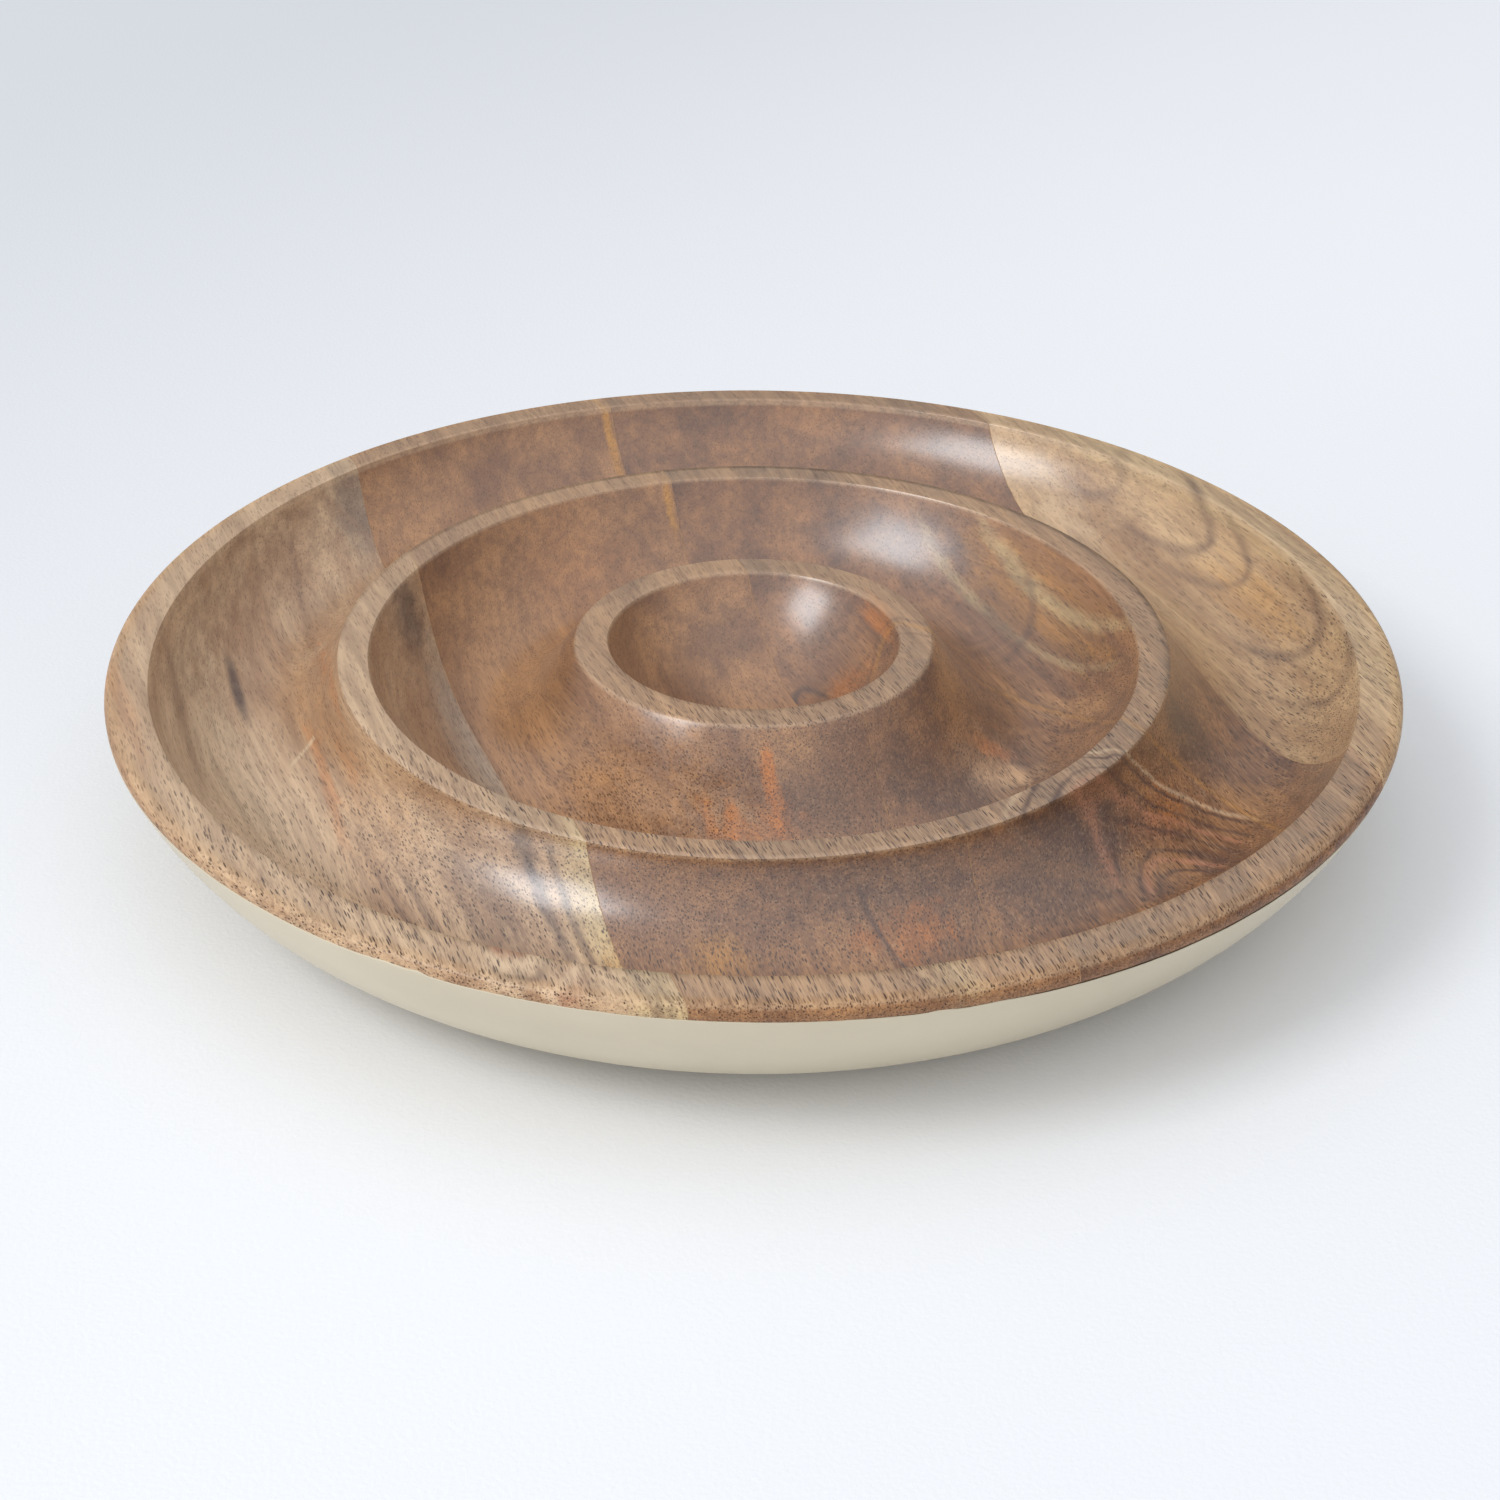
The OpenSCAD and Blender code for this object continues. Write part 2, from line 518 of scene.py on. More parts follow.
    x, y, _ = m.split(m.node("GeometryNodeInputPosition").outputs[0])
    across = x * angle.math("COSINE") + y * angle.math("SINE")
    near = (across - from_joint).math("ABSOLUTE").math("LESS_THAN", SLACK)
    far = (across - to_joint).math("ABSOLUTE").math("LESS_THAN", SLACK)
    m.give({"Board": finished(m, cut.outputs[0], near.math("MAXIMUM", far))})
    return tree


def enamel_tree(finish):
    """The coat of enamel: belly and base, and a ragged lip on the rounded edge."""
    sizes = {
        "Line Height": ENAMEL_TOP[1] * MM,
        "Low Height": ENAMEL_LOW_Z * MM,
        "Base Radius": BASE_R * MM,
        "Coat": ENAMEL_T * MM,
        "Lip": (LIP_T + LIP_BITE) * MM,
        "Raggedness": RAGGEDNESS * MM,
        "Steps": LIP_STEPS,
        "Faces": ENAMEL_FACES,
        "Finish": finish,
    }
    tree, m = new_tree("enamel_coat", "GeometryNodeTree", sizes, {"Coat": None})
    low_z = m.input("Low Height")
    coat = m.input("Coat")
    lip = m.input("Lip")
    base_r = m.input("Base Radius")

    def skin(height):
        """Radius of the outer face at a height, on the belly or on the rounded edge."""
        belly = (height - BELLY_CENTRE[1] * MM) ** 2.0
        belly = ((BELLY_R * MM) ** 2 - belly).math("MAXIMUM", 0.0).math("SQRT") + BELLY_CENTRE[0] * MM
        edge = (height - EDGE_CENTRE[1] * MM) ** 2.0
        edge = ((EDGE_R * MM) ** 2 - edge).math("MAXIMUM", 0.0).math("SQRT") + EDGE_CENTRE[0] * MM
        return belly + (edge - belly) * height.math("GREATER_THAN", ENAMEL_TOP[1] * MM)

    def lip_place(way, top_z):
        """Radius and height on the upper stretch: way runs from -1, outside, to 1, inside."""
        share = 1 - way.math("ABSOLUTE") ** 1.5
        height = low_z + (top_z - low_z) * share
        outside = lip * share.smooth(0.9, 1.0)
        inside = coat + (lip - coat) * share
        return skin(height) - outside - (inside - outside) * way.math("GREATER_THAN", 0.0), height

    steps = m.input("Steps")
    way = m.number("GeometryNodeInputIndex") / steps * 2 - 1
    radius, height = lip_place(way, m.input("Line Height"))
    stretch = outline_of(m, radius, height, steps)
    # Stored with 2 added, so that 0 marks the points that are off the lip
    marked = m.node(
        "GeometryNodeStoreNamedAttribute",
        {"Geometry": stretch, "Name": "way", "Value": way + 2},
    )
    low_out = (belly_at(ENAMEL_LOW_Z) * MM, low_z)
    low_in = (low_out[0] - coat, low_z)
    foot = backing_place(ENAMEL_T)
    flat_r = base_r - BASE_STRIP * MM
    chains = [
        straight(m, (0.0, 0.0), (flat_r, 0.0)),
        straight(m, (flat_r, 0.0), (base_r, 0.0)),
        belly_outline(m, 0.0, 0.0, ENAMEL_LOW_Z, BELLY_STEPS),
        marked.outputs[0],
        straight(m, low_in, backing_place(WOOD_LOW_Z)),
        belly_outline(m, ENAMEL_T, WOOD_LOW_Z, ENAMEL_T, BACKING_STEPS),
        straight(m, foot, (0.0, foot[1])),
    ]
    plain = m.node("GeometryNodeFlipFaces", {"Mesh": turned(m, chains, m.input("Faces")).outputs[0]})

    way = m.number("GeometryNodeInputNamedAttribute", {"Name": "way"}) - 2
    place = m.node("GeometryNodeInputPosition").outputs[0]
    x, y, _ = m.split(place)
    bearing = y.math("ARCTAN2", x)
    cosine = bearing.math("COSINE")
    sine = bearing.math("SINE")
    round_place = m.vector(cosine * OUTER_R, sine * OUTER_R, 0.0)
    coarse = m.noise(round_place, (0.16, 0.16, 0.16), detail=1.0) - 0.5
    fine = m.noise(round_place, (0.9, 0.9, 0.9), detail=3.0) - 0.5
    top_z = m.input("Line Height") + (coarse + fine * 0.8) * m.input("Raggedness")
    for degrees, half_width, rise in LINE_BUMPS:
        focus = (OUTER_R / half_width) ** 2
        closeness = (bearing - math.radians(degrees)).math("COSINE") - 1
        top_z = top_z + (closeness * focus).math("EXPONENT") * (rise * MM)
    radius, height = lip_place(way, top_z)
    ragged = m.node(
        "GeometryNodeSetPosition",
        {
            "Geometry": plain.outputs[0],
            "Selection": way.math("GREATER_THAN", -1.5),
            "Position": m.vector(radius * cosine, radius * sine, height),
        },
    )
    clean = m.node("GeometryNodeRemoveAttribute", {"Geometry": ragged.outputs[0], "Name": "way"})
    m.give({"Coat": finished(m, clean.outputs[0], False)})
    return tree


def solid_from(name, tree, values=None):
    """A plain mesh object that holds what a node tree makes with the given values."""
    maker = bpy.data.objects.new(name + "_maker", bpy.data.meshes.new(name + "_maker"))
    bpy.context.scene.collection.objects.link(maker)
    modifier = maker.modifiers.new("shape", "NODES")
    modifier.node_group = tree
    for socket in tree.interface.items_tree:
        if socket.name in (values or {}):
            modifier[socket.identifier] = values[socket.name]
    evaluated = maker.evaluated_get(bpy.context.evaluated_depsgraph_get())
    mesh = bpy.data.meshes.new_from_object(evaluated)
    mesh.name = name
    piece = bpy.data.objects.new(name, mesh)
    bpy.context.scene.collection.objects.link(piece)
    bpy.data.objects.remove(maker)
    return piece


# ---------------------------------------------------------------- wood


def figure_group():
    """What one board's wood shows at a place: tone, streaks, rings, fibre, pores and a ripple figure
    whose pale bands serve as painted sheen.
    """
    inputs = {
        "Place": (0.0, 0.0, 0.0),
        "Shift": (0.0, 0.0, 0.0),
        "Wander": 3.0,
        "Pith Across": 0.0,
        "Pith Height": -60.0,
        "Pith Lean": 0.0,
        "Ring Width": 5.0,
        "Ring Wobble": 1.2,
        "Pore Share": 0.8,
    }
    outputs = {
        "Tone": 0.0,
        "Streak": 0.0,
        "Rings": 0.0,
        "Fibre": 0.0,
        "Pores": 0.0,
        "Ripple Sheen": 0.0,
    }
    tree, m = new_tree("mango_figure", "ShaderNodeTree", inputs, outputs)
    shifted = m.vector_math("ADD", m.input("Place"), m.input("Shift"))
    slow = m.vector_math("MULTIPLY", shifted, (0.016, 0.009, 0.016))
    drift = m.node("ShaderNodeTexNoise", {"Vector": slow, "Scale": 1.0, "Detail": 2.0}).outputs["Color"]
    centred = m.vector_math("SUBTRACT", drift, (0.5, 0.5, 0.5))
    wander = m.input("Wander")
    offset = m.vector_math("MULTIPLY", centred, m.vector(wander * 4, 0.0, wander * 4))
    place = m.vector_math("ADD", shifted, offset)

    broad = m.noise(place, (0.07, 0.01, 0.07), detail=4.0, roughness=0.6)
    cloudy = m.noise(place, (0.035, 0.02, 0.035), detail=3.0)
    tone = (broad * 0.65 + cloudy * 0.35).smooth(0.36, 0.64)
    streak = m.noise(place, (0.42, 0.014, 0.42), detail=3.0, roughness=0.65)

    across, along, height = m.split(m.vector_math("SUBTRACT", place, m.input("Shift")))
    from_pith = m.vector(
        across - m.input("Pith Across"),
        0.0,
        height - m.input("Pith Height") - along * m.input("Pith Lean"),
    )
    uneven = m.noise(place, (0.03, 0.012, 0.03), detail=2.0)
    rings = m.vector_math("LENGTH", from_pith) / m.input("Ring Width") + uneven * m.input("Ring Wobble")
    part = rings.math("FRACT")
    strength = m.number("ShaderNodeTexWhiteNoise", {"W": rings.math("FLOOR")}, noise_dimensions="1D")
    late = part.smooth(0.35, 0.85) * (1 - part.smooth(0.88, 1.0)) * (0.3 + strength * 0.7)

    fibre = m.noise(place, (1.9, 0.07, 1.9), detail=3.0, roughness=0.7)
    # Bands across the grain: partly the wood's ripple figure, partly painted sheen
    ripple_sheen = m.noise(place, (0.06, 0.3, 0.12), detail=3.0, roughness=0.5)

    def pore_layer(cell, stretch, size, share):
        """Long thin cells along the grain, each with a dark vessel at its centre."""
        scaled = m.vector_math("MULTIPLY", place, (1 / cell, 1 / (cell * stretch), 1 / cell))
        cells = m.node("ShaderNodeTexVoronoi", {"Vector": scaled, "Scale": 1.0})
        chance = m.split(cells.outputs["Color"])[0]
        there = chance.math("LESS_THAN", share)
        depth = 0.45 + chance / share * 0.55
        return (1 - Number(m, cells.outputs["Distance"]).smooth(size * 0.65, size)) * there * depth

    crowd = m.noise(place, (0.12, 0.014, 0.12), detail=2.0).smooth(0.3, 0.6)
    share = m.input("Pore Share")
    dots = pore_layer(0.5, 9.0, 0.4, share * (0.5 + crowd * 0.5))
    specks = pore_layer(0.4, 9.0, 0.36, share * 0.8) * 0.5
    dashes = pore_layer(1.1, 7.0, 0.18, share * 0.7)
    m.give(
        {
            "Tone": tone,
            "Streak": streak.smooth(0.36, 0.66),
            "Rings": late,
            "Fibre": fibre,
            "Pores": dots.math("MAXIMUM", specks).math("MAXIMUM", dashes),
            "Ripple Sheen": ripple_sheen.smooth(0.4, 0.68),
        }
    )
    return tree


def patch_group():
    """1 inside a rounded patch of the wood, 0 outside, with edges that feather along the grain."""
    inputs = {
        "Place": (0.0, 0.0, 0.0),
        "Centre": (0.0, 0.0, 0.0),
        "Size": (10.0, 10.0, 10.0),
        "Ragged": 0.5,
        "Slant": 0.0,
    }
    tree, m = new_tree("wood_patch", "ShaderNodeTree", inputs, {"Mask": 0.0})
    across, along, height = m.split(m.vector_math("SUBTRACT", m.input("Place"), m.input("Centre")))
    straightened = m.vector(across - along * m.input("Slant"), along, height)
    reach = m.vector_math("LENGTH", m.vector_math("DIVIDE", straightened, m.input("Size")))
    feather = m.noise(m.input("Place"), (0.35, 0.03, 0.35), detail=3.0, roughness=0.6)
    edge = reach + (feather - 0.5) * m.input("Ragged") * 2
    m.give({"Mask": 1 - edge.smooth(0.25, 1.25)})
    return tree


def vein_group():
    """1 on a thin arched line across the grain, 0 elsewhere."""
    inputs = {
        "Place": (0.0, 0.0, 0.0),
        "Across": 0.0,
        "Along": 0.0,
        "Climb": 0.9,
        "Slope": 0.0,
        "Bend": 0.1,
        "Half Length": 12.0,
        "Half Width": 1.0,
    }
    tree, m = new_tree("wood_vein", "ShaderNodeTree", inputs, {"Mask": 0.0})
    across, along, height = m.split(m.input("Place"))
    wave = m.noise(m.input("Place"), (0.12, 0.05, 0.12), detail=3.0) - 0.5
    place = across + height * m.input("Climb") - m.input("Across")
    arch = place * m.input("Slope") + place * place * m.input("Bend")
    off = (along - m.input("Along") - arch + wave * 7).math("ABSOLUTE")
    steep = (m.input("Slope") + place * m.input("Bend") * 2).math("ABSOLUTE") + 1
    line = 1 - (off / steep).smooth(0.0, m.input("Half Width"))
    ends = 1 - place.math("ABSOLUTE").smooth(m.input("Half Length") * 0.75, m.input("Half Length"))
    m.give({"Mask": line * ends * (0.6 + wave * 1.2)})
    return tree


CREAM = rgb(212, 186, 134)
GREY_BROWN = rgb(116, 98, 84)
DARK_BROWN = rgb(66, 42, 32)
ORANGE = rgb(208, 120, 28)
AMBER = rgb(200, 138, 44)
TAN = rgb(204, 150, 96)
UMBER = rgb(86, 54, 38)
PALE = rgb(224, 192, 154)
PINK_BROWN = rgb(182, 120, 86)
PORE = rgb(62, 36, 20)

# Each patch: colour, strength, centre and half size across, along and up in mm, ragged, slant
LEFT_PATCHES = (
    (PALE, 0.95, (-128, -14, 28), (20, 90, 24), 0.6, 0.0),
    (TAN, 0.55, (-98, 10, 24), (12, 60, 14), 0.8, 0.0),
    (rgb(158, 138, 118), 0.75, (-67, 14, 24), (7, 60, 14), 0.5, 0.06),
    (rgb(70, 56, 50), 0.7, (-72, 52, 34), (5, 20, 10), 0.7, 0.0),
    (GREY_BROWN, 0.7, (-69, 120, 34), (8, 26, 14), 0.6, 0.0),
    (UMBER, 0.5, (-86, -72, 24), (9, 40, 14), 0.9, 0.0),
    (UMBER, 0.45, (-93, 70, 30), (1.6, 40, 14), 0.9, 0.1),
    (UMBER, 0.5, (-132, 40, 30), (1.6, 60, 14), 0.7, 0.05),
    (CREAM, 0.95, (-66, -98, 34), (9, 84, 22), 0.3, 0.09),
    (AMBER, 0.85, (-70, -112, 25), (8, 24, 6), 0.7, 0.05),
    (DARK_BROWN, 0.95, (-74.5, -92, 34), (2.0, 66, 20), 0.6, -0.08),
    (DARK_BROWN, 0.8, (-70.5, -100, 32), (1.1, 50, 20), 0.6, -0.06),
    (DARK_BROWN, 0.7, (-97, -80, 32), (1.4, 50, 20), 0.7, -0.1),
    (DARK_BROWN, 0.5, (-102, -74, 32), (0.8, 40, 20), 0.7, -0.1),
    (ORANGE, 0.5, (-97, 26, 28), (2.6, 40, 12), 1.0, 0.12),
    (ORANGE, 0.45, (-107, -8, 27), (1.8, 34, 12), 1.0, 0.08),
    (ORANGE, 0.4, (-147, 20, 41), (3, 30, 6), 1.0, 0.0),
    (DARK_BROWN, 0.95, (-116.3, 47, 25), (1.9, 17, 6), 0.3, 0.06),
    (UMBER, 0.7, (-114.5, 75, 25), (2.2, 4, 6), 0.4, 0.0),
    (PALE, 0.7, (-93, -114, 41), (9, 10, 5), 1.0, 0.7),
    (PINK_BROWN, 0.5, (-86, -124, 41), (5, 8, 4), 1.0, 0.5),
)
MIDDLE_LEFT_PATCHES = (
    (TAN, 0.5, (-44, 34, 24), (20, 80, 14), 0.7, 0.0),
    (rgb(184, 122, 66), 0.45, (-20, 70, 28), (16, 40, 16), 1.0, 0.0),
    (UMBER, 0.75, (-10, -88, 32), (36, 22, 16), 0.8, 0.0),
    (UMBER, 0.5, (-4, -108, 30), (18, 24, 14), 0.8, 0.0),
    (PALE, 0.4, (-40, -120, 38), (30, 16, 8), 0.8, 0.0),
    (UMBER, 0.5, (-8, -53, 28), (12, 9, 9), 0.9, 0.0),
    # Painted shade over darker wood: darkens the well's left wall, where shade falls
    (UMBER, 0.5, (0, 24, 29), (12, 12, 8), 0.9, 0.0),
    (UMBER, 0.3, (-14, -38, 42), (11, 8, 4), 0.9, 0.0),
    (ORANGE, 0.95, (-14, -46, 28), (1.9, 18, 12), 0.8, 0.1),
    (ORANGE, 0.75, (-24, -50, 24), (2.2, 9, 6), 1.1, 0.05),
    (ORANGE, 0.5, (-29, -50, 24), (2.0, 9, 6), 1.2, 0.0),
    (ORANGE, 0.45, (-20, -56, 24), (11, 6, 6), 1.3, 0.0),
    (AMBER, 0.5, (-46, -103, 25), (8, 9, 5), 1.6, 0.0),
    (ORANGE, 0.5, (-6, -109, 26), (13, 8, 5), 1.6, 0.0),
    (AMBER, 0.9, (9.4, 134, 34), (1.5, 22, 14), 0.5, -0.05),
    (AMBER, 0.85, (9.4, 88, 36), (1.3, 12, 10), 0.5, 0.0),
    (DARK_BROWN, 0.8, (-13, -108, 30), (0.9, 18, 14), 0.5, -0.24),
    (CREAM, 0.5, (-14, -146, 42), (6, 9, 5), 1.0, 0.0),
)
MIDDLE_RIGHT_PATCHES = (
    (AMBER, 0.45, (82, 14, 30), (9, 50, 14), 1.0, -0.1),
    (CREAM, 0.6, (84, 12, 33), (1.8, 60, 14), 0.7, -0.12),
    (CREAM, 0.5, (75, 14, 28), (1.5, 50, 14), 0.8, -0.16),
    (rgb(172, 138, 106), 0.6, (44, -46, 22), (13, 18, 12), 0.7, 0.0),
    (TAN, 0.7, (70, -25, 24), (5, 30, 12), 0.8, -0.35),
    (rgb(230, 182, 134), 0.9, (46, -46, 20), (8, 6, 8), 0.5, -0.3),
    (rgb(206, 128, 70), 0.75, (45, -37, 20), (8, 4, 8), 0.8, -0.5),
    # Painted shade over darker wood: darkens the foot of the inner ring, where shade falls
    (UMBER, 0.45, (26, -30, 30), (12, 12, 14), 0.7, 0.0),
    # Painted shade over darker wood: this patch and the next darken the middle ring's outer wall on the
    # right, which faces away from the window
    (UMBER, 0.8, (88, -62, 32), (10, 26, 14), 0.6, 0.0),
    (DARK_BROWN, 0.95, (83, -60, 35), (8, 17, 11), 0.5, 0.0),
    (UMBER, 0.75, (34, -98, 30), (28, 26, 14), 0.7, 0.0),
    # Painted shade over darker wood: the middle ring's outer wall further along on the right, where
    # shade falls
    (UMBER, 0.5, (98, -20, 26), (9, 34, 14), 0.8, 0.0),
    (UMBER, 0.5, (73, 14, 20), (10, 20, 7), 0.9, 0.0),
    (TAN, 0.55, (88, -84, 24), (9, 12, 7), 1.0, 0.0),
    (TAN, 0.5, (55, -102, 24), (9, 8, 7), 1.0, 0.0),
    (UMBER, 0.35, (30, -145, 42), (28, 7, 4), 0.8, 0.0),
    (ORANGE, 0.4, (66, -84, 27), (8, 7, 6), 1.2, 0.0),
    (PINK_BROWN, 0.6, (58, -88, 25), (8, 7, 6), 1.0, 0.0),
    (ORANGE, 0.6, (34, 2, 34), (3, 14, 12), 1.2, 0.0),
    (ORANGE, 0.45, (20, -8, 28), (7, 9, 12), 1.2, 0.0),
    (UMBER, 0.5, (26, 14, 30), (8, 9, 12), 1.2, 0.0),
)
RIGHT_PATCHES = (
    (CREAM, 0.5, (132, 10, 42), (22, 120, 4), 0.7, 0.0),
    (AMBER, 0.5, (134, -6, 30), (7, 28, 8), 0.9, 0.0),
    (PALE, 0.5, (114, 40, 28), (7, 50, 14), 0.9, 0.0),
    (PALE, 0.5, (140, -40, 36), (5, 24, 14), 0.8, 0.0),
    (UMBER, 0.5, (107, -10, 30), (3, 60, 14), 0.6, 0.0),
)

# Each vein: colour, strength, where it peaks across (at height 0) and along, slope, bend, half
# length and half width. Higher up in the board it lies further left.
LEFT_VEINS = (
    (PALE, 1.4, -84, 7, 0.5, 0.0, 6, 1.0),
    (DARK_BROWN, 0.7, -53, -118, 0.3, 0.16, 8, 1.6),
    (PALE, 1.2, -53, -114, 0.3, 0.16, 8, 2.4),
    (PINK_BROWN, 1.0, -51, -110, 0.3, 0.14, 8, 2.0),
    (PALE, 1.0, -48, -122, 0.6, 0.1, 7, 2.0),
)
MIDDLE_LEFT_VEINS = (
    (UMBER, 0.5, 8, 60, 0.5, 0.03, 20, 2.0),
    (UMBER, 0.5, -4, 96, 0.6, 0.02, 18, 2.0),
    (UMBER, 0.4, 10, 30, 0.5, 0.03, 20, 2.0),
)
MIDDLE_RIGHT_VEINS = (
    (UMBER, 0.45, 79, -8, -1.16, -0.054, 42, 0.9),
    (AMBER, 0.45, 79, -11, -1.16, -0.054, 40, 1.3),
    (UMBER, 0.5, 79, -16, -1.1, -0.06, 30, 0.9),
    (PALE, 0.7, 83, -76, 0.1, -0.028, 28, 1.0),
    (UMBER, 1.3, 84, -79, 0.1, -0.03, 26, 0.9),
    (UMBER, 1.2, 84, -84, 0.1, -0.04, 23, 0.9),
    (PINK_BROWN, 0.9, 84, -87, 0.1, -0.05, 20, 1.2),
    (UMBER, 1.2, 83, -90, 0.0, -0.06, 17, 0.9),
    (UMBER, 1.2, 83, -96, 0.0, -0.08, 14, 0.9),
    (PINK_BROWN, 1.0, 82, -99, 0.0, -0.09, 12, 1.2),
    (UMBER, 1.2, 82, -103, 0.0, -0.1, 10, 0.9),
    (DARK_BROWN, 1.0, 33, 4, 0.1, -0.25, 7, 1.6),
    (UMBER, 0.8, 96, -46, -0.6, 0.04, 16, 1.8),
    (UMBER, 0.7, 68, 62, 0.3, 0.04, 24, 2.4),
    (UMBER, 0.7, 62, 100, 0.3, 0.03, 24, 2.4),
    (UMBER, 0.7, 100, 10, 0.6, 0.02, 16, 2.0),
)
RIGHT_VEINS = (
    (UMBER, 0.79, 165, 22, 0.0, 0.11, 17, 2.6),
    (UMBER, 0.58, 164, 4, 0.0, 0.1, 16, 2.2),
    (UMBER, 0.79, 162, -37, 0.0, 0.08, 18, 3.0),
    (UMBER, 0.79, 156, -62, 0.0, 0.06, 18, 3.0),
    (UMBER, 0.58, 160, 56, 0.1, 0.08, 16, 2.6),
)

# Each board's look. Its colours are the pale wood, the deep wood and the dark streaks. Its shift
# takes it to its own part of the noise. Its pith is the middle of its rings, across and up, and how
# fast that rises along the board. Dull is where its lacquer is dull, across and along.
LOOKS = {
    "left_board": {
        "colours": (rgb(212, 176, 136), rgb(170, 128, 90), rgb(98, 62, 42)),
        "shift": (0.0, 0.0, 0.0),
        "pith": (-150.0, -40.0, 0.05),
        "ring_width": 6.0,
        "patches": LEFT_PATCHES,
        "veins": LEFT_VEINS,
        "ripple_sheen": 0.1,
        "pores": 0.75,
        "dull": (-60.0, 60.0),
    },
    "middle_left_board": {
        "colours": (rgb(180, 128, 78), rgb(134, 88, 50), rgb(86, 50, 30)),
        "shift": (230.0, 50.0, 20.0),
        "pith": (-90.0, -30.0, 0.03),
        "ring_width": 8.0,
        "patches": MIDDLE_LEFT_PATCHES,
        "veins": MIDDLE_LEFT_VEINS,
        "ripple_sheen": 0.06,
        "pores": 0.95,
        "dull": (-41.0, -36.0),
    },
    "middle_right_board": {
        "colours": (rgb(166, 114, 68), rgb(106, 66, 40), rgb(66, 40, 26)),
        "shift": (470.0, -70.0, 60.0),
        "pith": (56.0, -50.0, -0.12),
        "ring_width": 4.6,
        "patches": MIDDLE_RIGHT_PATCHES,
        "veins": MIDDLE_RIGHT_VEINS,
        "ripple_sheen": 0.35,
        "pores": 0.7,
        "dull": (70.0, -90.0),
    },
    "right_board": {
        "colours": (rgb(210, 172, 124), rgb(166, 124, 80), rgb(104, 68, 44)),
        "shift": (710.0, 90.0, -40.0),
        "pith": (140.0, -90.0, -0.09),
        "ring_width": 7.0,
        "patches": RIGHT_PATCHES,
        "veins": RIGHT_VEINS,
        "ripple_sheen": 0.15,
        "pores": 0.6,
        "dull": (150.0, -60.0),
    },
}


def board_place(m):
    """The place in the boards' own frame, in mm: across the boards, along the grain and up."""
    values = {
        "Vector": m.node("ShaderNodeTexCoord").outputs["Object"],
        "Rotation": (0.0, 0.0, -math.radians(BOARD_ANGLE)),
        "Scale": (1 / MM, 1 / MM, 1 / MM),
    }
    return m.node("ShaderNodeMapping", values).outputs[0]


def new_finish(name):
    """An empty material, its maker and its shader."""
    material = bpy.data.materials.new(name)
    material.use_nodes = True
    material.node_tree.nodes.clear()
    m = Maker(material.node_tree)
    shader = m.node("ShaderNodeBsdfPrincipled")
    m.join(shader.outputs[0], m.node("ShaderNodeOutputMaterial").inputs["Surface"])
    return material, m, shader


def bumped(m, shader, height, distance):
    """Gives a shader a relief whose full height is the given distance."""
    bump = m.node("ShaderNodeBump", {"Height": height, "Distance": distance, "Strength": 1.0})
    m.join(bump.outputs[0], shader.inputs["Normal"])


# How strongly each feature of the figure shows in the colour of the wood
RING_SHARE = 0.3
STREAK_SHARE = 0.32
DARK_FIBRE_SHARE = 0.5
PALE_FIBRE_SHARE = 0.18
PORE_SHARE = 0.95
# How much paler the tops are mixed: partly sanding, partly painted light
SANDED_AND_LIT_SHARE = 0.34
# Heights between which the sanded tops start, which are mixed paler partly for the sanding and
# partly as painted light on the faces that look up, and radii between which the lacquer is rubbed off
SANDED_AND_LIT_Z = (40.3, 41.1)
RUBBED_R = (148.0, 150.5)
# Half size of the stretch where the lacquer is dull, and its height
DULL_SIZE = (30.0, 24.0, 20.0)
DULL_Z = 24.0
# Depths of the relief of wood, glue and enamel
WOOD_RELIEF = 0.07
GLUE_RELIEF = 0.03
ENAMEL_RELIEF = 0.03


